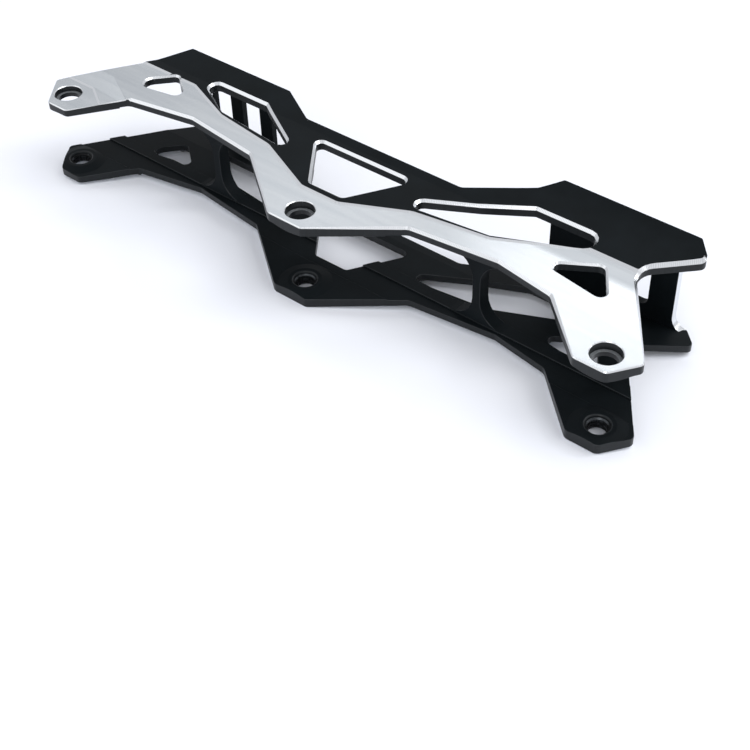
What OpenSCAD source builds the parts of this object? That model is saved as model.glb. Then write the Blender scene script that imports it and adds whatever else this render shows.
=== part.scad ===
// Inline skate frame for three wheels, lying on its side as it does on a table.
// X runs from toe to heel, Y from the wheels to the boot, Z up through both side walls.
// It is drawn round the middle axle, with heights in Y over the outer axles, and then
// moved so that the origin is on the table, under the middle of the whole frame.

/* [Axles] */
// distance from one axle to the next
axle_pitch = 121.5; // [112:0.5:130]
// how far the middle axle sits below the outer two
rocker = 2.5; // [0:0.1:4]
// clear width between the two axle bosses, for the wheel hub and its bearings
hub_gap = 25.5; // [24:0.1:27]
// plain axle bore in the upper wall
bore_d = 8.1; // [6:0.05:9.8]
// counterbore for the axle head
head_d = 10.5; // [10:0.1:12]
// depth of that counterbore
head_depth = 3.1; // [1.5:0.1:3.6]
// broken edge of that counterbore
head_chamfer = 0.3; // [0.1:0.1:0.5]
// thread core in the lower wall, M8 x 1.25
thread_d = 6.8; // [5:0.05:8]
// wall of the thread bush round that core
bush_wall = 0.8; // [0.6:0.1:1.2]
// how far the bush sits below the boss face
bush_set = 0.8; // [0.4:0.1:1.2]
// countersink in the boss over the bush
mouth_chamfer = 0.4; // [0.2:0.1:0.4]

/* [Side walls] */
// wall at the axle lugs, without its boss
lug_wall = 3.8; // [3:0.1:5]
// boss height over the lug's inner face
boss_h = 1.1; // [0.3:0.1:2]
// boss width at its flat face
boss_d = 12.2; // [12:0.1:15]
// how much wider the boss is at its foot
boss_foot = 7.5; // [1:0.1:9]
// depth of the front lug below its axle
toe_drop = 9.1; // [7:0.1:11]
// depth of the other lugs below theirs
lug_drop = 7.7; // [7:0.1:10]
// thinning of the upper wall on its inner side
upper_relief = 0.6; // [0:0.1:2]
// shallow recess between the lug pad and the web's root
belly_relief = 0.4; // [0:0.1:1]
// top of the lug pad on the inner face
pad_top = 7.5; // [6:0.1:9]
// how far the black upper wall stands proud of the milled band
band_step = 0.5; // [0.2:0.1:1]
// width of the slope up to it, along the band's upper edge
band_slope = 0.9; // [0.3:0.1:1.2]
// bright chamfer round the windows in the black wall
rim_chamfer = 0.9; // [0.3:0.1:1.1]
// chamfer round the two small windows in the milled band
lug_chamfer = 0.7; // [0.3:0.1:1.1]
// chamfer along the band's lower edge, between the lugs
edge_chamfer = 0.9; // [0.3:0.1:1]
// the same chamfer where it runs out round the lugs
lug_edge = 0.4; // [0.2:0.1:0.6]
// chamfer up the heel and round its tip
heel_chamfer = 1.1; // [0.4:0.1:1.2]
// how far the toe's ramp leans in towards the front axle
toe_ramp = 0.5; // [0:0.1:0.8]
// drop from the ramp to the pad round the front axle
toe_step = 0.3; // [0.1:0.1:0.6]
// upper end of the ramp, over the front axle
crease_y = 18; // [17:0.1:20]
// upper end of that pad
toe_pad_y = 7.5; // [6:0.1:9]
// upper edge of the milled band at the heel
heel_band_y = 37.7; // [37.2:0.1:38.2]

/* [Heights over the outer axles] */
// boot side of the front deck
front_deck_y = 49.4; // [48.5:0.1:55]
// boot side of the rear deck
rear_deck_y = 61.4; // [60:0.1:70]
// top of the spine between the decks
spine_y = 40.4; // [40:0.1:42]
// height from which both walls lean out, towards the wider decks
lean_start = 36.5; // [36.4:0.1:37.2]
// lean of the outer face, for each millimetre of height
lean_out = 0.13; // [0.05:0.01:0.16]
// lean of the inner face
lean_in = 0.12; // [0.05:0.01:0.14]
// start of the curve that spreads the walls further
flange_start = 50; // [49:0.1:53]
// how much that curve adds at the rear deck
flange_out = 0.9; // [0.2:0.1:2]

/* [Decks] */
// thickness of the front deck
front_deck_t = 2.4; // [2:0.1:4]
// thickness of the rear deck
rear_deck_t = 3; // [2:0.1:4]
// front edge of the front deck, behind the front axle
front_deck_start = 29.4; // [28.6:0.1:29.8]
// length of the front deck
front_deck_len = 42.6; // [42:0.1:46]
// front end of the side walls' boot side, behind the front axle
toe_top = 18.8; // [17:0.1:20]
// centre of the rear-most front slot, behind the front axle
front_slot_x = 66.1; // [65.8:0.1:66.4]
// distance between the front slots
slot_pitch = 15.4; // [13:0.1:15.5]
// number of front slots
front_slots = 3; // [1:1:3]
// slot width, along the frame
slot_w = 9; // [6:0.1:9.4]
// slot length, across the frame
slot_len = 24; // [16:0.5:25]
// slot corner radius
slot_r = 2.8; // [1:0.1:4]
// middle of the rear slot, ahead of the rear axle
rear_slot_x = 22.4; // [21:0.1:27]
// front end of the rear deck's boot side, ahead of the rear axle
rear_deck_start = 56.4; // [55.5:0.1:57]
// how far the rear deck's front edge reaches past that end, down the slope
rear_deck_lip = 3.2; // [3:0.1:6]
// rear edge of the rear deck, ahead of the rear axle
rear_deck_end = 7.9; // [7.5:0.1:10]
// fillet that runs from the deck's edge out along each wall
deck_fillet = 5.1; // [2:0.1:6.5]

/* [Cross bars] */
// underside of the cross bars
bar_y = 17; // [14:0.1:18.5]
// height of the cross bars
bar_h = 5.2; // [3:0.1:6.5]
// width of a bar at the middle
bar_w = 3.2; // [2:0.1:7]
// radius of the flare from a bar to the walls
bar_flare = 9.4; // [5:0.1:10.5]
// how far the web's root stands off the lug's inner face
root_proud = 0.3; // [0:0.1:1]

/* [Hidden] */

$fn = 64;
eps = 0.05;
boss_root = 0.5;
far = 400;
deep = 2000;
arc_steps = 6;

// stations along X and across Z
front_x = -axle_pitch;
rear_x = axle_pitch;
axle_points = [[front_x, 0], [0, -rocker], [rear_x, 0]];
// level of the wall's outer face at each axle
axle_levels = [-toe_ramp - toe_step, 0, 0];
face_z = hub_gap / 2 + boss_h + lug_wall;
upper_inner = lug_wall - upper_relief;
root_inner = lug_wall + root_proud;
root_half = face_z - root_inner;
bar_top = bar_y + bar_h;
bush_d = thread_d + 2 * bush_wall;
bush_sink = bush_wall - 0.3;
front_deck_end = front_deck_start + front_deck_len;

// how far the outer face leans out at a height, and half the width between the inner faces
function lean(y) = lean_out * max(0, y - lean_start)
    + flange_out * pow(max(0, (y - flange_start) / (rear_deck_y - flange_start)), 2);
function inner_half(y) = face_z - upper_inner + lean_in * max(0, y - lean_start);
mid_z = face_z + band_step + lean(rear_deck_y);

// a point by its distance behind the front, middle or rear axle, with a corner radius
function f(x, y, r = 0) = [front_x + x, y, r];
function m(x, y, r = 0) = [x, y, r];
function h(x, y, r = 0) = [rear_x + x, y, r];

function unit(v) = v / norm(v);
function flat(p) = [p[0], p[1]];
function turn(a) = a > 180 ? a - 360 : a < -180 ? a + 360 : a;

// arc that rounds corner b between its neighbours a and c
function corner(a, b, c) =
    b[2] <= 0 ? [flat(b)] :
    let (u = unit(flat(a) - flat(b)), v = unit(flat(c) - flat(b)),
         half = acos(u * v) / 2,
         o = flat(b) + unit(u + v) * b[2] / sin(half),
         s = flat(b) + u * b[2] / tan(half) - o,
         e = flat(b) + v * b[2] / tan(half) - o,
         a0 = atan2(s[1], s[0]), da = turn(atan2(e[1], e[0]) - a0))
    [for (i = [0 : arc_steps]) o + b[2] * [cos(a0 + da * i / arc_steps), sin(a0 + da * i / arc_steps)]];

function rounded(p) = let (n = len(p))
    [for (i = [0 : n - 1]) each corner(p[(i + n - 1) % n], p[i], p[(i + 1) % n])];

// a convex outline with every side moved out by d
function grown(p, d) = let (n = len(p))
    [for (i = [0 : n - 1])
        let (b = flat(p[i]), u = unit(flat(p[(i + n - 1) % n]) - b), v = unit(flat(p[(i + 1) % n]) - b),
             q = b - unit(u + v) * d / sin(acos(u * v) / 2))
        [q[0], q[1], p[i][2] + d]];

// an outline at a height, flat or following the wall's lean
function level(p, z) = [for (q = p) [q[0], q[1], z]];
function leaning(p, z) = [for (q = p) [q[0], q[1], z + lean(q[1])]];

// an outline with a further point where a long side meets the height at which the lean starts
function bent(p) = let (n = len(p), y = lean_start)
    [for (i = [0 : n - 1]) let (a = p[i], b = p[(i + 1) % n])
        each norm(b - a) > 4 && (a[1] - y) * (b[1] - y) < 0 ?
            [a, a + (b - a) * (y - a[1]) / (b[1] - a[1])] : [a]];

// solid through rings of equally many points, one over the other; the lowest and the highest
// are flat, and the whole of each is in sight of its first point
module loft(rings) {
    n = len(rings[0]);
    last = len(rings) - 1;
    polyhedron(
        points = [for (r = rings) each r],
        faces = concat([[for (i = [0 : n - 1]) i]], [[for (i = [n : -1 : 1]) last * n + i % n]],
                       [for (k = [0 : last - 1], i = [0 : n - 1]) let (a = k * n, j = (i + 1) % n) each
                           [[a + i, a + n + i, a + n + j], [a + i, a + n + j, a + j]]]));
}

// wall outline, anticlockwise from the front lug's lower corner
wall_outline = [
    f(-1.6, -toe_drop, 2.8), f(8.4, -toe_drop, 2.3), f(22.4, 10.4, 3.7), f(51.3, 15.7, 2.8),
    m(-37.1, 11.8, 2.8), m(-8.1, -rocker - lug_drop, 3.7),
    m(6.7, -rocker - lug_drop, 1.9), m(35.5, 12.2, 3.7),
    h(-51.6, 16, 2.8), h(-28.9, 12.4, 3.7),
    h(-7.3, -lug_drop, 2.8), h(4.6, -lug_drop, 2.8), h(11.9, 2.7, 2.3),
    h(-14, 39.6, 6), h(3.5, 54.5, 2.4), h(-3, rear_deck_y, 1.4),
    h(-rear_deck_start, rear_deck_y, 1.4), h(-62.5, 54.1, 3), m(36.6, spine_y, 3.7), m(-34.7, spine_y, 3.7),
    f(front_deck_end - 1.6, front_deck_y, 1.4), f(toe_top, front_deck_y, 0.9),
    f(12.5, 38.5, 14), f(-11.2, 3.7, 1.9)];

// windows, each with its rim on the wall's outer face
front_lug_window = [f(10.1, 17.8, 4.3), f(40.1, 23.4, 3), f(25.7, 35.1, 3)];
front_window = [
    f(30.5, spine_y - 0.8, 3.6), f(56.8, 25, 2.8), f(102.1, 19.8, 3), f(68.2, spine_y - 0.8, 1.9)];
middle_window = [m(-25.3, 34.1, 2.8), m(-8, 10.6, 2.8), m(7.6, 10.7, 2.8), m(22.1, 34.4, 3.3)];
rear_window = [h(-107.4, 19.3, 3.5), h(-61.5, 24.8, 3.7), h(-13.8, 46.5, 4.6), h(-57.2, 46.3, 1.9)];
rear_lug_window = [h(-42.7, 24.3, 3.1), h(-11.3, 19.4, 2.8), h(-22.7, 36.4, 3.2)];

// lower edge of the black face, from toe to heel; the milled band lies below it
band_edge = [
    f(-far, 31.9, 0), f(36.5, 31.9, 3.7), f(59.2, 22.8, 5.6), f(86.4, 19.1, 9.3),
    m(-8.8, 7.5, 4.7), m(7.5, 7.5, 4.7), m(31.4, 19, 9.3),
    h(-60.9, 23.4, 7.4), h(-32.5, heel_band_y, 7.4), h(far, heel_band_y, 0)];

// toe facets: the ramp's upper crease and its lower step, seen on the milled band
toe_crease = [
    f(-far, crease_y, 0), f(6.3, crease_y, 1.9), f(22.1, 9.7, 0), f(22.1, -far, 0), f(-far, -far, 0)];
toe_pad = [
    f(-far, toe_pad_y, 0), f(5.4, toe_pad_y, 1.9), f(15.7, 1.2, 0), f(15.7, -far, 0), f(-far, -far, 0)];

// middle of the outline, which the finished frame is centred on
outline_points = rounded(wall_outline);
outline_x = [for (p = outline_points) p[0]];
outline_y = [for (p = outline_points) p[1]];
centre = [(min(outline_x) + max(outline_x)) / 2, (min(outline_y) + max(outline_y)) / 2, 0];

// section of the wall: [distance out from the milled face, height]
wall_section = [
    [-lug_wall, -far], [-lug_wall, pad_top], [belly_relief - lug_wall, pad_top],
    [belly_relief - lug_wall, bar_y], [-root_inner, bar_y], [-root_inner, bar_top],
    [-upper_inner, bar_top], [-upper_inner, lean_start],
    [inner_half(rear_deck_y) - face_z, rear_deck_y],
    each [for (i = [5 : -1 : 0]) let (y = flange_start + (rear_deck_y - flange_start) * i / 5)
        [band_step + lean(y), y]],
    [band_step, lean_start], [band_step, -far]];

module window(p, out, chamfer) {
    hole = bent(rounded(grown(p, -chamfer)));
    loft([level(hole, -lug_wall - root_proud - 1), leaning(hole, out - chamfer),
          leaning(bent(rounded(grown(p, eps))), out + eps), level(bent(rounded(grown(p, eps))), 8)]);
}

// part of the outline whose outer edge is chamfered, from behind the front lug to the heel's tip
rim_widths = concat([for (i = [0 : 2]) edge_chamfer], [lug_edge, lug_edge], [for (i = [0 : 2]) edge_chamfer],
                    [for (i = [0 : 2]) lug_edge], [heel_chamfer, heel_chamfer]);
rim_first = 2 * (arc_steps + 1) + arc_steps / 2;
rim_last = 15 * (arc_steps + 1) - 1;
function rim_width(i) = i == rim_first ? lug_edge : rim_widths[floor(i / (arc_steps + 1)) - 2];

// level of the wall's outer face along that part
function rim_level(p) = p[0] < rear_x - 40 ? 0 : let (z = lean(p[1]))
    z + band_step * min(1, max(0, (p[1] - heel_band_y) / band_slope - z / band_step));

// section of the wedge that cuts the chamfer, at point p of an edge in direction d
function rim_section(p, d, w) =
    let (z = rim_level(p), o = [d[1], -d[0]], a = p + o * 0.3, b = p - o * (w + 0.8))
    [[a[0], a[1], z - w - 0.3], [a[0], a[1], z + 0.8], [b[0], b[1], z + 0.8]];

// sections halfway along the short sides of the outline's arcs, and near both ends of its long sides
rim_sections = [for (i = [rim_first : rim_last - 1])
    let (a = outline_points[i], b = outline_points[i + 1], d = unit(b - a))
    each norm(b - a) < 4 ? [rim_section((a + b) / 2, d, rim_width(i))] :
        [rim_section(a + d, d, rim_width(i)), rim_section(b - d, d, rim_width(i + 1))]];

module rim_cut() {
    n = len(rim_sections) - 1;
    polyhedron(points = [for (r = rim_sections) each r], faces = concat(
        [[0, 2, 1]], [[3 * n, 3 * n + 1, 3 * n + 2]],
        [for (i = [0 : n - 1], k = [0 : 2]) let (a = 3 * i + k, b = 3 * i + (k + 1) % 3) each
            [[a, b, b + 3], [a, b + 3, a + 3]]]));
}

// a section [height, distance out] drawn out along the frame
module along(section) {
    translate([-far, 0, 0]) rotate([90, 0, 90]) linear_extrude(2 * far) polygon(section);
}

// everything in front of the milled band, with a sloped wall up to the black face
module band_pocket() {
    edge = rounded(band_edge);
    rings = [for (z = [-1, 6]) concat([[0, -deep, z]],
        [for (i = [len(edge) - 1 : -1 : 0]) [edge[i][0], edge[i][1] + z * band_slope / band_step, z]])];
    intersection() {
        loft(rings);
        along([[-deep, 0], [lean_start, 0], [flange_start, lean(flange_start)],
               [flange_start, 10], [-deep, 10]]);
    }
}

// the toe leans in and steps down to a pad round the front axle
module toe_relief() {
    intersection() {
        translate([0, 0, -toe_ramp - toe_step]) linear_extrude(2) polygon(rounded(toe_pad));
        translate([front_x - 40, -40, -2]) cube([80, 80, 4]);
    }
    ramp = [[crease_y, 0], [crease_y, 1], [-far, 1], [-far, -toe_ramp], [toe_pad_y, -toe_ramp]];
    intersection() {
        translate([front_x - 60, 0, 0]) rotate([90, 0, 90]) linear_extrude(120) polygon(ramp);
        translate([0, 0, -2]) linear_extrude(4) polygon(rounded(toe_crease));
    }
}

// one side wall in its own frame: milled face at Z = 0, the wheels on the -Z side
module blank_wall() {
    difference() {
        intersection() {
            translate([0, 0, -far / 2]) linear_extrude(far) polygon(outline_points);
            along([for (p = wall_section) [p[1], p[0]]]);
        }
        band_pocket();
        toe_relief();
        rim_cut();
        window(front_window, band_step, rim_chamfer);
        window(middle_window, band_step, rim_chamfer);
        window(rear_window, band_step, rim_chamfer);
        window(front_lug_window, 0, lug_chamfer);
        window(rear_lug_window, 0, lug_chamfer);
    }
    intersection() {
        for (p = axle_points) translate([p[0], p[1], -lug_wall - boss_h]) {
            cylinder(d1 = boss_d, d2 = boss_d + boss_foot, h = boss_h);
            translate([0, 0, boss_h]) cylinder(d = boss_d + boss_foot, h = boss_root);
        }
        translate([0, 0, -lug_wall - boss_h]) linear_extrude(boss_h + boss_root) polygon(outline_points);
        translate([-far, -far, -far]) cube([2 * far, far + pad_top, 2 * far]);
    }
}

module upper_side_wall() {
    color("silver") translate([0, 0, mid_z + face_z]) difference() {
        blank_wall();
        for (i = [0 : 2]) translate(axle_points[i]) {
            translate([0, 0, -lug_wall - boss_h - 1]) cylinder(d = bore_d, h = lug_wall + boss_h + 2);
            translate([0, 0, -head_depth]) cylinder(d = head_d, h = head_depth + 1);
            translate([0, 0, axle_levels[i] - head_chamfer])
                cylinder(d1 = head_d, d2 = head_d + 2 * (head_chamfer + eps), h = head_chamfer + eps);
        }
    }
}

module lower_side_wall() {
    color("dimgray") translate([0, 0, mid_z - face_z]) mirror([0, 0, 1]) difference() {
        blank_wall();
        for (p = axle_points) translate([p[0], p[1], -lug_wall - boss_h]) {
            translate([0, 0, -1]) cylinder(d = bush_d, h = lug_wall + boss_h + 2);
            translate([0, 0, -eps]) cylinder(
                d1 = bush_d + 2 * (mouth_chamfer + eps), d2 = bush_d, h = mouth_chamfer + eps);
        }
    }
}

// steel thread bush, set a little below the boss face and flush with the outside of the lower wall
module thread_bush(p, seat = 0) {
    bottom = mid_z - face_z + seat;
    top = mid_z - hub_gap / 2 - bush_set;
    color("gainsboro") translate([p[0], p[1], 0]) difference() {
        translate([0, 0, bottom]) cylinder(d = bush_d, h = top - bottom);
        translate([0, 0, bottom - 1]) cylinder(d = thread_d, h = top - bottom + 2);
        translate([0, 0, top - bush_sink])
            cylinder(d1 = thread_d, d2 = thread_d + 2 * bush_sink, h = bush_sink);
    }
}

module thread_bush_front() { thread_bush(axle_points[0], toe_ramp + toe_step); }
module thread_bush_middle() { thread_bush(axle_points[1]); }
module thread_bush_rear() { thread_bush(axle_points[2]); }

module slot(x) {
    a = slot_w / 2;
    b = slot_len / 2;
    polygon(rounded([[x - a, -b, slot_r], [x + a, -b, slot_r], [x + a, b, slot_r], [x - a, b, slot_r]]));
}

// deck plate in plan [X, Z]: straight edges x0 and x1, each spread along the walls by a fillet
module deck_plan(x0, x1, w) {
    r = deck_fillet;
    polygon(rounded([
        [x0 - r, -w, 0], [x0, -w + eps, r - eps], [x0, w - eps, r - eps], [x0 - r, w, 0],
        [x1 + r, w, 0], [x1, w - eps, r - eps], [x1, -w + eps, r - eps], [x1 + r, -w, 0]]));
}

// a plan in [X, Z] raised in Y from y0 over a height
module standing(y0, height) {
    translate([0, y0 + height, mid_z]) rotate([90, 0, 0]) linear_extrude(height) children();
}

// the space between the leaning walls
module between_walls() {
    a = lean_start;
    b = rear_deck_y + 1;
    translate([0, 0, mid_z])
        along([[a, -inner_half(a)], [b, -inner_half(b)], [b, inner_half(b)], [a, inner_half(a)]]);
}

module front_deck() {
    color("steelblue") intersection() {
        standing(front_deck_y - front_deck_t, front_deck_t) difference() {
            deck_plan(front_x + front_deck_start, front_x + front_deck_end, inner_half(front_deck_y) + eps);
            for (i = [0 : front_slots - 1]) slot(front_x + front_slot_x - i * slot_pitch);
        }
        linear_extrude(far) polygon(outline_points);
        between_walls();
    }
}

module rear_deck() {
    color("slategray") intersection() {
        standing(rear_deck_y - rear_deck_t, rear_deck_t) difference() {
            deck_plan(rear_x - rear_deck_start - rear_deck_lip, rear_x - rear_deck_end,
                      inner_half(rear_deck_y) + eps);
            slot(rear_x - rear_slot_x);
        }
        linear_extrude(far) polygon(outline_points);
        between_walls();
    }
}

// bar left between two wheel pockets: slim in the middle and spread out at both walls
module cross_bar(x) {
    a = bar_w / 2;
    r = bar_flare;
    w = root_half;
    standing(bar_y, bar_h) polygon(rounded([
        [x - a - r, -w, 0], [x - a, -w + eps, r - eps], [x - a, w - eps, r - eps], [x - a - r, w, 0],
        [x + a + r, w, 0], [x + a, w - eps, r - eps], [x + a, -w + eps, r - eps], [x + a + r, -w, 0]]));
}

module front_cross_bar() { color("darkgray") cross_bar(front_x / 2); }
module rear_cross_bar() { color("darkgray") cross_bar(rear_x / 2); }

module placed() { translate(-centre) children(); }

placed() upper_side_wall();
placed() lower_side_wall();
placed() front_deck();
placed() rear_deck();
placed() front_cross_bar();
placed() rear_cross_bar();
placed() thread_bush_front();
placed() thread_bush_middle();
placed() thread_bush_rear();
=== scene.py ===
import math

import bmesh
import bpy
from mathutils import Matrix, Vector


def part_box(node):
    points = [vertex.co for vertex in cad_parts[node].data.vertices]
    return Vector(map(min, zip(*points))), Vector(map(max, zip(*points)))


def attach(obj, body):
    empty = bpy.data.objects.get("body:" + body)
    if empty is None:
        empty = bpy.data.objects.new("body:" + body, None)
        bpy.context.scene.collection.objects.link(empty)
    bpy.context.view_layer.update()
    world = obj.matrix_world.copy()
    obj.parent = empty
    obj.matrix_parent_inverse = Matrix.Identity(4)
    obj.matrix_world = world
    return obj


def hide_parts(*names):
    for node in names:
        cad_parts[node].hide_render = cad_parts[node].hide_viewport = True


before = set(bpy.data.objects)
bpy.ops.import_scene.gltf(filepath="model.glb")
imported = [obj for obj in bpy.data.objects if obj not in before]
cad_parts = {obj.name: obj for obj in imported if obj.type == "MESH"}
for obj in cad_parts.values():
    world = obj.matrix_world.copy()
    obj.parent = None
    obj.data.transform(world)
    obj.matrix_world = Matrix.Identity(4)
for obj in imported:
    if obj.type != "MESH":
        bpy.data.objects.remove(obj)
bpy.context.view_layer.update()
MM = 0.001

# Side walls. Each is one side of the frame body, milled from an extruded aluminium profile,
# blasted and black anodised. After that a face cutter bares the band over the wheels, and a
# chamfer cutter bares the rims of the windows and the outer edges.
wall_middle = 22.287 * MM     # halfway between the two walls
band_level = 17.65 * MM       # milled band, out from there
black_level = 18.15 * MM      # black face beside the band
pad_level = 16.85 * MM        # pad round the front axle
seat_level = 14.55 * MM       # floor of the counterbores for the axle heads
level_slack = 0.05 * MM       # how near to its level a face has to lie
chamfer_drop = 0.4 * MM       # how far below the pad's level a chamfer's middle may lie
lean_start = 10.9 * MM        # height from which the walls lean out
lean_rate = 0.13
lug_bevel = 0.35 * MM         # broken edge round the front lug and up the toe
step_run = 0.8 * MM           # how far the step down to the front axle's pad is laid back
rub_bevel = 0.12 * MM         # rounding that blasting leaves on every other edge
flat = 0.95                   # a milled face's normal has at least this share of Z
broad = 0.9                   # any broad face's normal has at least this, an edge's has less
chamfer_least, chamfer_most = 0.4, 0.92   # a chamfer's normal lies between these
upright = 0.2                 # an upright face's normal has at most this
coat_index = 1.6              # refractive index of the sealed anodised skin


def linear(code):
    """An sRGB hex colour as the linear colour that a shader takes."""
    parts = [int(code[i:i + 2], 16) / 255 for i in (1, 3, 5)]
    return tuple(c / 12.92 if c <= 0.04045 else ((c + 0.055) / 1.055) ** 2.4 for c in parts) + (1.0,)


def fill(tree, node, inputs):
    """Sets a node's inputs; each is a value, or a socket to link from."""
    for key, value in inputs.items():
        if isinstance(value, bpy.types.NodeSocket):
            tree.links.new(value, node.inputs[key])
        else:
            node.inputs[key].default_value = value


def add(tree, kind, inputs=None, stops=(), **settings):
    """Adds a node with its settings and inputs; a colour ramp's stops are places and hex colours."""
    node = tree.nodes.new(kind)
    for name, value in settings.items():
        setattr(node, name, value)
    for i, (stop, code) in enumerate(stops):
        node.color_ramp.elements[i].position = stop
        node.color_ramp.elements[i].color = linear(code)
    fill(tree, node, inputs or {})
    return node


def fresh(name):
    """A new material, its node tree and its main shader."""
    made = bpy.data.materials.new(name)
    made.use_nodes = True
    return made, made.node_tree, made.node_tree.nodes["Principled BSDF"]


# Black anodised aluminium: glass bead leaves fine pits, and the sealed dye is near black with
# a cool cast, so the eye gets a satin skin with soft highlights and faint cloudy rubs.
# The pits are about 0.1 mm across and drawn at 0.35 mm, so that they show.
black, tree, skin = fresh("black_anodised_aluminium")
place = add(tree, "ShaderNodeTexCoord").outputs["Object"]
pits = add(tree, "ShaderNodeTexNoise", {"Vector": place, "Scale": 1 / (0.35 * MM), "Detail": 2.0})
rubs = add(tree, "ShaderNodeTexNoise",
           {"Vector": place, "Scale": 1 / (22 * MM), "Detail": 5.0, "Roughness": 0.6})
tint = add(tree, "ShaderNodeValToRGB", {"Fac": rubs.outputs["Fac"]},
           stops=((0.3, "#0b0f11"), (0.75, "#14191c")))
gloss = add(tree, "ShaderNodeMapRange", {"Value": rubs.outputs["Fac"], "To Min": 0.42, "To Max": 0.56})
grain = add(tree, "ShaderNodeBump",
            {"Height": pits.outputs["Fac"], "Strength": 0.12, "Distance": 0.05 * MM})
fill(tree, skin, {
    "Base Color": tint.outputs["Color"], "Roughness": gloss.outputs["Result"],
    "Normal": grain.outputs["Normal"], "IOR": coat_index, "Specular IOR Level": 0.04})

# The same skin on edges, window walls and the sides of bosses, which an end mill cut: smoother
# than the blasted faces, so it picks up the white table as a dark grey sheen with fine upright
# strokes. These are about 0.1 mm apart and drawn at 0.4 mm, so that they show.
edged, tree, skin = fresh("anodised_milled_edge")
place = add(tree, "ShaderNodeTexCoord").outputs["Object"]
drawn = add(tree, "ShaderNodeVectorMath",
            {0: place, 1: (1 / (0.4 * MM), 1 / (0.4 * MM), 1 / (6 * MM))}, operation="MULTIPLY")
strokes = add(tree, "ShaderNodeTexNoise", {"Vector": drawn.outputs["Vector"], "Scale": 1.0, "Detail": 2.0})
tint = add(tree, "ShaderNodeValToRGB", {"Fac": strokes.outputs["Fac"]},
           stops=((0.3, "#0c1012"), (0.7, "#15191c")))
gloss = add(tree, "ShaderNodeMapRange", {"Value": strokes.outputs["Fac"], "To Min": 0.3, "To Max": 0.42})
fill(tree, skin, {
    "Base Color": tint.outputs["Color"], "Roughness": gloss.outputs["Result"],
    "IOR": coat_index, "Specular IOR Level": 0.21})

# The same skin where blasting rounds an edge: the dye is thin there and handling polishes it,
# so edges read as fine grey lines.
rubbed, tree, skin = fresh("rubbed_anodised_edge")
place = add(tree, "ShaderNodeTexCoord").outputs["Object"]
worn = add(tree, "ShaderNodeTexNoise", {"Vector": place, "Scale": 1 / (3 * MM), "Detail": 3.0})
tint = add(tree, "ShaderNodeValToRGB", {"Fac": worn.outputs["Fac"]},
           stops=((0.35, "#1a1e20"), (0.7, "#2c3134")))
fill(tree, skin, {
    "Base Color": tint.outputs["Color"], "Roughness": 0.34, "IOR": coat_index, "Specular IOR Level": 0.2})

# Bare aluminium from a face cutter: the cutter leaves arcs one feed apart, here 0.05 mm and
# drawn at 0.5 mm so that they show. The eye gets a pale silver sheet with a faint curved lay
# and long streaks, duller towards the bend, where the cutter starts to ride up the leaning wall.
cutter_radius = 50 * MM
cutter_path = 5 * MM          # where the cutter's middle passes, along Y
arc_step = 0.5 * MM
dull_from, dull_to = 3.5 * MM, 6.5 * MM
milled, tree, metal = fresh("milled_aluminium")
place = add(tree, "ShaderNodeTexCoord").outputs["Object"]
axes = add(tree, "ShaderNodeSeparateXYZ", {"Vector": place})
across = add(tree, "ShaderNodeMath", {0: axes.outputs["Y"], 1: cutter_path}, operation="SUBTRACT")
square = add(tree, "ShaderNodeMath", {0: across.outputs[0], 1: across.outputs[0]}, operation="MULTIPLY")
inside = add(tree, "ShaderNodeMath", {0: cutter_radius ** 2, 1: square.outputs[0]}, operation="SUBTRACT")
bulge = add(tree, "ShaderNodeMath", {0: inside.outputs[0]}, operation="SQRT")
along = add(tree, "ShaderNodeMath", {0: axes.outputs["X"], 1: bulge.outputs[0]}, operation="SUBTRACT")
phase = add(tree, "ShaderNodeMath", {0: along.outputs[0], 1: 2 * math.pi / arc_step}, operation="MULTIPLY")
arcs = add(tree, "ShaderNodeMath", {0: phase.outputs[0]}, operation="SINE")
drawn = add(tree, "ShaderNodeVectorMath",
            {0: place, 1: (1 / (45 * MM), 1 / (4 * MM), 1 / (45 * MM))}, operation="MULTIPLY")
haze = add(tree, "ShaderNodeTexNoise", {"Vector": drawn.outputs["Vector"], "Scale": 1.0, "Detail": 3.0})
tint = add(tree, "ShaderNodeValToRGB", {"Fac": haze.outputs["Fac"]},
           stops=((0.3, "#b9bec2"), (0.7, "#c4c8cb")))
gloss = add(tree, "ShaderNodeMapRange", {"Value": haze.outputs["Fac"], "To Min": 0.2, "To Max": 0.24})
dull = add(tree, "ShaderNodeMapRange",
           {"Value": axes.outputs["Y"], "From Min": dull_from, "From Max": dull_to, "To Max": 0.2})
rough = add(tree, "ShaderNodeMath", {0: gloss.outputs["Result"], 1: dull.outputs["Result"]}, operation="ADD")
lay = add(tree, "ShaderNodeBump", {"Height": arcs.outputs[0], "Strength": 0.1, "Distance": 0.01 * MM})
fill(tree, metal, {
    "Base Color": tint.outputs["Color"], "Roughness": rough.outputs[0],
    "Normal": lay.outputs["Normal"], "Metallic": 1.0})

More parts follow.
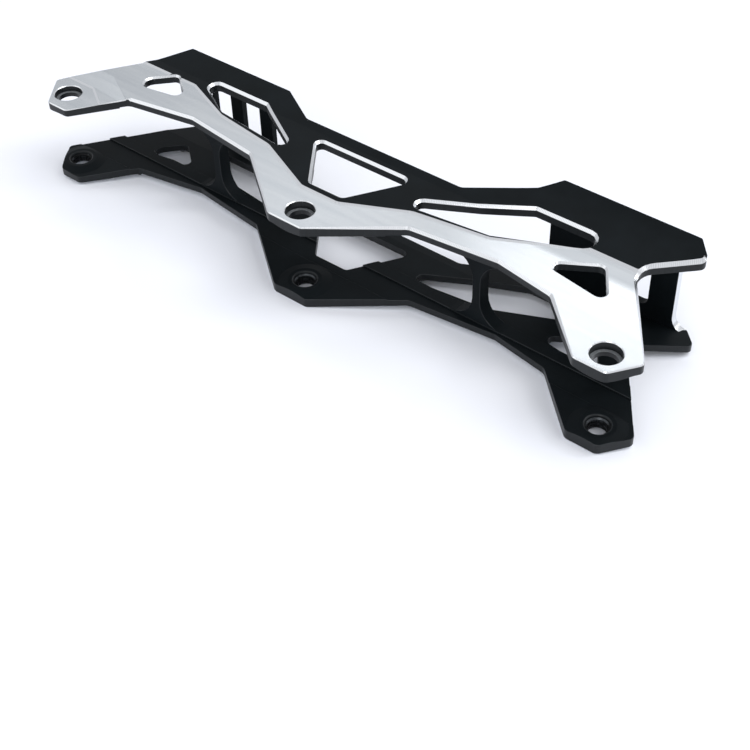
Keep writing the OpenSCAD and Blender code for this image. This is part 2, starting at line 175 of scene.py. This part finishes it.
# Bare aluminium from a chamfer cutter: a narrow, nearly polished cut that flashes white at
# the corners, with faint ribs on its long runs. They are 0.1 mm apart, drawn at 0.6 mm to show.
rib_step = 0.6 * MM
cut, tree, metal = fresh("bright_cut_aluminium")
run = add(tree, "ShaderNodeAttribute", attribute_name="run").outputs["Fac"]
phase = add(tree, "ShaderNodeMath", {0: run, 1: 2 * math.pi / rib_step}, operation="MULTIPLY")
ribs = add(tree, "ShaderNodeMath", {0: phase.outputs[0]}, operation="SINE")
place = add(tree, "ShaderNodeTexCoord").outputs["Object"]
chatter = add(tree, "ShaderNodeTexNoise", {"Vector": place, "Scale": 1 / (0.9 * MM), "Detail": 1.0})
mixed = add(tree, "ShaderNodeMath", {0: ribs.outputs[0], 1: chatter.outputs["Fac"]}, operation="MULTIPLY")
share = add(tree, "ShaderNodeMapRange", {"Value": mixed.outputs[0], "From Min": -0.6, "From Max": 0.6})
tint = add(tree, "ShaderNodeValToRGB", {"Fac": share.outputs["Result"]},
           stops=((0.2, "#d4d7da"), (0.8, "#e6e8ea")))
waves = add(tree, "ShaderNodeBump", {"Height": ribs.outputs[0], "Strength": 0.02, "Distance": 0.02 * MM})
fill(tree, metal, {
    "Base Color": tint.outputs["Color"], "Normal": waves.outputs["Normal"], "Roughness": 0.24,
    "Metallic": 1.0})

# The counterbores' floors, where the axle heads sit: a dull grey with fine mottling. It is a painted
# reflection, standing in for the sheen that these black anodised floors catch.
seat, tree, metal = fresh("axle_seat_painted_reflection")
place = add(tree, "ShaderNodeTexCoord").outputs["Object"]
seat_mottle = add(tree, "ShaderNodeTexNoise", {"Vector": place, "Scale": 1 / (0.5 * MM), "Detail": 3.0})
# Painted reflection: a grey in place of the black floor's own sheen.
tint = add(tree, "ShaderNodeValToRGB", {"Fac": seat_mottle.outputs["Fac"]},
           stops=((0.3, "#6a6e71"), (0.7, "#868a8d")))
fill(tree, metal, {"Base Color": tint.outputs["Color"], "Roughness": 0.55, "Metallic": 0.4})

# The finishes in the order in which a wall lists them.
BLACK, MILLED, CUT, RUBBED, SEAT, EDGED = range(6)


def merged(node, gap=0.002 * MM, bend=math.radians(0.3)):
    """A copy of a CAD node's mesh, with its loose triangles joined into whole faces."""
    mesh = bmesh.new()
    mesh.from_mesh(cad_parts[node].data)
    bmesh.ops.remove_doubles(mesh, verts=mesh.verts, dist=gap)
    bmesh.ops.dissolve_limit(mesh, angle_limit=bend, verts=mesh.verts, edges=mesh.edges)
    for face in mesh.faces:
        face.material_index = 0
    return mesh


def broken(mesh, edges, width, material):
    """Bevels these edges and gives the new faces a material."""
    made = bmesh.ops.bevel(mesh, geom=edges, offset=width, offset_type="OFFSET", segments=1,
                           profile=0.5, affect="EDGES", clamp_overlap=False)
    for face in made["faces"]:
        face.material_index = material


def risers(vert):
    """The bare upright faces at a vertex."""
    return [face for face in vert.link_faces
            if face.material_index == CUT and abs(face.normal.z) < upright]


def laid_back(verts, run):
    """Moves the top of a step away from its foot, so that the step becomes a slope."""
    moves = []
    for vert in verts:
        away = -sum((face.normal for face in risers(vert)), Vector())
        away.normalize()
        rims = [edge for edge in vert.link_edges
                if sorted(face.material_index for face in edge.link_faces) == [BLACK, MILLED]]
        if rims:
            along = (rims[0].other_vert(vert).co - vert.co).normalized()
            moves.append((vert, along * (run / along.dot(away))))
        else:
            level = next(face.normal for face in vert.link_faces if face.material_index == MILLED)
            moves.append((vert, away * run - Vector((0, 0, level.dot(away * run) / level.z))))
    for vert, move in moves:
        vert.co += move


def sharp(edge, least=25):
    """Whether two faces meet at this edge with a bend of more than so many degrees."""
    return len(edge.link_faces) == 2 and edge.calc_face_angle(0) > math.radians(least)


def least_angle(edge, new_finish=0.4, between_broad=5, elsewhere=32):
    """The bend in degrees from which an edge is drawn sharp; the black skin flows over gentle ones."""
    one, two = edge.link_faces
    kinds = {BLACK if face.material_index == EDGED else face.material_index for face in (one, two)}
    if len(kinds) == 2:
        return new_finish
    return between_broad if min(abs(one.normal.z), abs(two.normal.z)) > broad else elsewhere


def measured(mesh):
    """Stores each face corner's distance along its own edge, for the cutter's ribs."""
    run = mesh.loops.layers.float.new("run")
    for face in mesh.faces:
        along = Vector((-face.normal.y, face.normal.x, 0))
        if along.length > 0.1:
            along.normalize()
            for loop in face.loops:
                loop[run] = along.dot(loop.vert.co)


def piece(name, mesh, materials, nodes):
    """Turns a finished mesh into a piece of the frame."""
    data = bpy.data.meshes.new(name)
    mesh.normal_update()
    measured(mesh)
    for face in mesh.faces:
        face.smooth = materials[face.material_index] is not milled
    for edge in mesh.edges:
        edge.smooth = len(edge.link_faces) != 2 or not sharp(edge, least_angle(edge))
    mesh.to_mesh(data)
    mesh.free()
    for material in materials:
        data.materials.append(material)
    made = bpy.data.objects.new(name, data)
    bpy.context.collection.objects.link(made)
    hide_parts(*nodes)
    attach(made, "root")
    return made


for name, node, side in (("upper_wall", "upper_side_wall", 1), ("lower_wall", "lower_side_wall", -1)):
    mesh = merged(node)
    for face in mesh.faces:
        centre = face.calc_center_median()
        out = (centre.z - wall_middle) * side - lean_rate * max(0, centre.y - lean_start)
        low = min((vert.co.z - wall_middle) * side for vert in face.verts)
        facing = face.normal.z * side
        if side > 0 and facing > flat and abs(out - seat_level) < level_slack:
            face.material_index = SEAT
        elif facing > flat and pad_level - level_slack < out < band_level + level_slack:
            face.material_index = MILLED
        elif (chamfer_least < facing < chamfer_most
              and pad_level - chamfer_drop < out < black_level + level_slack):
            face.material_index = CUT
        elif (abs(facing) < upright and low > pad_level - level_slack
              and out < band_level and centre.y < lean_start):
            face.material_index = CUT
    step, toe, rest = [], [], []
    for edge in filter(sharp, mesh.edges):
        kinds = sorted(face.material_index for face in edge.link_faces)
        below_band = all((vert.co.z - wall_middle) * side < band_level - level_slack for vert in edge.verts)
        if kinds == [BLACK, MILLED]:
            toe.append(edge)
        elif kinds == [MILLED, CUT] and edge.is_convex and below_band and all(map(risers, edge.verts)):
            step += edge.verts
        elif kinds == [BLACK, BLACK] and edge.is_convex:
            rest.append(edge)
    laid_back(set(step), step_run)
    broken(mesh, toe, lug_bevel, CUT)
    broken(mesh, [edge for edge in rest if edge.is_valid], rub_bevel, RUBBED)
    for face in mesh.faces:
        if face.material_index == BLACK and abs(face.normal.z) < broad:
            face.material_index = EDGED
    piece(name, mesh, (black, milled, cut, rubbed, seat, edged), (node,))

# Decks and cross bars. They belong to the same milled body, between the walls: two slotted
# plates that the boot is bolted to, and two slim bars left between the wheel pockets. They are
# anodised with it, with edges rounded by blasting; the heel was trimmed later, so its end is bare.
wall_contact = 0.5 * MM       # edges this near to a wall stay sharp
heel_trim = 5.5 * MM          # length of the rear deck's bare end
PLAIN, ROUNDED, TRIMMED = range(3)
for node in ("front_deck", "rear_deck", "front_cross_bar", "rear_cross_bar"):
    mesh = merged(node)
    low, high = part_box(node)
    edges = [edge for edge in mesh.edges if sharp(edge) and not all(
        min(vert.co.z - low[2], high[2] - vert.co.z) < wall_contact for vert in edge.verts)]
    broken(mesh, edges, rub_bevel, ROUNDED)
    if node == "rear_deck":
        for face in mesh.faces:
            at_end = face.calc_center_median().x > high[0] - heel_trim
            if at_end and abs(face.normal.y) < 0.5 and face.normal.x > 0.05:
                face.material_index = TRIMMED
    piece(node + "_dressed", mesh, (black, rubbed, cut), (node,))

# Thread bushes. Steel bushes pressed into the lower wall, tapped M8 x 1.25 for the wheel axles.
# They are turned from bar, so the mouth has a countersink and the bore shows its thread.
core_radius = 3.4 * MM
thread_pitch = 1.25 * MM
ridge = 0.4 * MM              # half width of one turn of thread
mouth = 0.5 * MM              # depth of the countersink

# Blackened steel: the bush's own skin, a thin oxide with a dull sheen and small brown-grey clouds.
blackened, tree, metal = fresh("blackened_steel")
place = add(tree, "ShaderNodeTexCoord").outputs["Object"]
clouds = add(tree, "ShaderNodeTexNoise", {"Vector": place, "Scale": 1 / (1.5 * MM), "Detail": 3.0})
tint = add(tree, "ShaderNodeValToRGB", {"Fac": clouds.outputs["Fac"]},
           stops=((0.3, "#0e1011"), (0.7, "#1b1d1f")))
fill(tree, metal, {"Base Color": tint.outputs["Color"], "Roughness": 0.45, "Specular IOR Level": 0.1})

# Turned steel: the thread's crests, bared by the tap and the axles, with fine tool marks about 0.1 mm apart,
# drawn at 0.3 mm so that they show. Its grey is darkened well below bare steel as painted shade for the dim
# bore.
steel, tree, metal = fresh("turned_steel_painted_shade")
place = add(tree, "ShaderNodeTexCoord").outputs["Object"]
marks = add(tree, "ShaderNodeTexNoise", {"Vector": place, "Scale": 1 / (0.3 * MM), "Detail": 2.0})
# Painted shade: this grey is much darker than bare steel, to keep the bore dim.
tint = add(tree, "ShaderNodeValToRGB", {"Fac": marks.outputs["Fac"]},
           stops=((0.3, "#303335"), (0.7, "#4a4d50")))
gloss = add(tree, "ShaderNodeMapRange", {"Value": marks.outputs["Fac"], "To Min": 0.24, "To Max": 0.36})
fill(tree, metal, {
    "Base Color": tint.outputs["Color"], "Roughness": gloss.outputs["Result"], "Metallic": 1.0})

# One helical ridge, as a rule: a spiral of the thread's pitch, swept by a three-sided section.
turns = bpy.data.node_groups.new("thread_turns", "GeometryNodeTree")
sockets = turns.interface
for label, kind in (("Radius", "NodeSocketFloat"), ("Pitch", "NodeSocketFloat"),
                    ("Turns", "NodeSocketFloat"), ("Ridge", "NodeSocketFloat"),
                    ("Place", "NodeSocketVector"), ("Steel", "NodeSocketMaterial")):
    sockets.new_socket(label, in_out="INPUT", socket_type=kind)
sockets.new_socket("Geometry", in_out="OUTPUT", socket_type="NodeSocketGeometry")
given = add(turns, "NodeGroupInput").outputs
rise = add(turns, "ShaderNodeMath", {0: given["Pitch"], 1: given["Turns"]}, operation="MULTIPLY")
spiral = add(turns, "GeometryNodeCurveSpiral", {
    "Resolution": 40, "Rotations": given["Turns"], "Start Radius": given["Radius"],
    "End Radius": given["Radius"], "Height": rise.outputs[0], "Reverse": True})
risen = add(turns, "GeometryNodeSetCurveNormal", {"Curve": spiral.outputs["Curve"]}, mode="Z_UP")
section = add(turns, "GeometryNodeCurvePrimitiveCircle", {"Resolution": 3, "Radius": given["Ridge"]})
swept = add(turns, "GeometryNodeCurveToMesh", {
    "Curve": risen.outputs["Curve"], "Profile Curve": section.outputs["Curve"], "Fill Caps": True})
moved = add(turns, "GeometryNodeTransform",
            {"Geometry": swept.outputs["Mesh"], "Translation": given["Place"]})
whole = add(turns, "GeometryNodeRealizeInstances", {"Geometry": moved.outputs["Geometry"]})
painted = add(turns, "GeometryNodeSetMaterial",
              {"Geometry": whole.outputs["Geometry"], "Material": given["Steel"]})
add(turns, "NodeGroupOutput", {"Geometry": painted.outputs["Geometry"]})

BUSH, THREAD = range(2)
for node in ("thread_bush_front", "thread_bush_middle", "thread_bush_rear"):
    low, high = [Vector(corner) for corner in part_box(node)]
    depth = high.z - low.z - mouth - 2 * ridge
    carrier = bpy.data.objects.new("carrier", bpy.data.meshes.new("carrier"))
    bpy.context.collection.objects.link(carrier)
    helix = carrier.modifiers.new("thread", "NODES")
    helix.node_group = turns
    sizes = {"Radius": core_radius, "Pitch": thread_pitch, "Turns": depth / thread_pitch, "Ridge": ridge,
             "Place": ((low.x + high.x) / 2, (low.y + high.y) / 2, low.z + ridge), "Steel": steel}
    for item in sockets.items_tree:
        if item.item_type == "SOCKET" and item.in_out == "INPUT":
            helix[item.identifier] = sizes[item.name]
    ready = carrier.evaluated_get(bpy.context.evaluated_depsgraph_get())
    thread = bpy.data.meshes.new_from_object(ready)
    mesh = merged(node)
    body = len(mesh.faces)
    mesh.from_mesh(thread)
    carrier.modifiers.remove(helix)
    bpy.data.objects.remove(carrier)
    for i, face in enumerate(mesh.faces):
        face.material_index = BUSH if i < body else THREAD
    piece(node + "_dressed", mesh, (blackened, steel), (node,))

# Table. A plain white sheet under the frame, which keeps its soft shadow. The frame rests on its
# lugs and on the rear deck's edge, so in the frame's own axes the sheet slopes up to the lugs.
slope = 0.0642                # rise towards the lugs
deck_edge = 35.8 * MM         # where the rear deck's edge touches the sheet
front_fold, rear_fold = -260 * MM, 300 * MM   # the sheet slopes between these and lies level beyond
reach = 6000 * MM             # how far the sheet runs each way
table, tree, sheet = fresh("white_table")
place = add(tree, "ShaderNodeTexCoord").outputs["Object"]
fleck = add(tree, "ShaderNodeTexNoise", {"Vector": place, "Scale": 1 / (60 * MM), "Detail": 2.0})
tint = add(tree, "ShaderNodeValToRGB", {"Fac": fleck.outputs["Fac"]},
           stops=((0.0, "#eef1f8"), (1.0, "#f5f7fc")))
fill(tree, sheet, {"Base Color": tint.outputs["Color"], "Roughness": 0.7, "Specular IOR Level": 0.2})
data = bpy.data.meshes.new("table")
corners = []
for y in (-reach, front_fold, rear_fold, reach):
    height = slope * (deck_edge - min(max(y, front_fold), rear_fold))
    corners += [(-reach, y, height), (reach, y, height)]
data.from_pydata(corners, [], [(i, i + 1, i + 3, i + 2) for i in (0, 2, 4)])
data.materials.append(table)
floor = bpy.data.objects.new("table", data)
bpy.context.collection.objects.link(floor)

# Studio light, in metres and watts. A wide soft box over the heel throws the soft shadow. Two
# behind shine on the milled band, one past the heel shines on the cut chamfers, and two fill in
# from the toe and from the front. The room is an even pale grey.
for name, spot, aim, size, power in (
        ("over", (0.55, 0.30, 1.10), (0, 0, 0), (0.9, 0.9), 5.5),
        ("behind", (-0.26, 0.84, 0.82), (0.08, 0, 0.03), (0.5, 0.2), 0.58),
        ("back", (-0.744, 0.594, 0.827), (-0.06, 0, 0.03), (0.5, 0.29), 0.28),
        ("side", (0.85, 0.87, 0.70), (0, 0, 0.01), (0.25, 0.25), 2.4),
        ("fill", (-0.70, -0.75, 0.75), (0, 0, 0.02), (0.8, 0.8), 1.0),
        ("front", (0.40, -0.85, 0.62), (0, 0, 0.02), (0.5, 0.5), 2.6)):
    lamp = bpy.data.lights.new(name, "AREA")
    lamp.shape, lamp.energy = "RECTANGLE", power
    lamp.size, lamp.size_y = size
    lit = bpy.data.objects.new(name, lamp)
    lit.location = spot
    lit.rotation_euler = (Vector(aim) - Vector(spot)).to_track_quat("-Z", "Y").to_euler()
    bpy.context.collection.objects.link(lit)
world = bpy.data.worlds.new("room")
world.use_nodes = True
bpy.context.scene.world = world
tree = world.node_tree
fill(tree, tree.nodes["Background"], {"Color": linear("#fafbff"), "Strength": 0.8})

# Camera, at the photograph's angle: from the wheel side, over the heel, looking down.
camera = bpy.data.cameras.new("camera")
camera.sensor_width, camera.lens = 36.0, 67.128
camera.clip_start, camera.clip_end = 0.01, 50.0
eye = bpy.data.objects.new("camera", camera)
right, up = Vector((0.77220, 0.63494, -0.02367)), Vector((-0.42155, 0.53984, 0.72861))
turned = Matrix((right, up, right.cross(up))).transposed()
eye.rotation_euler = turned.to_euler()
eye.location = (0.27043, -0.30635, 0.32527)
bpy.context.collection.objects.link(eye)
bpy.context.scene.camera = eye
bpy.context.scene.view_settings.view_transform = "Standard"
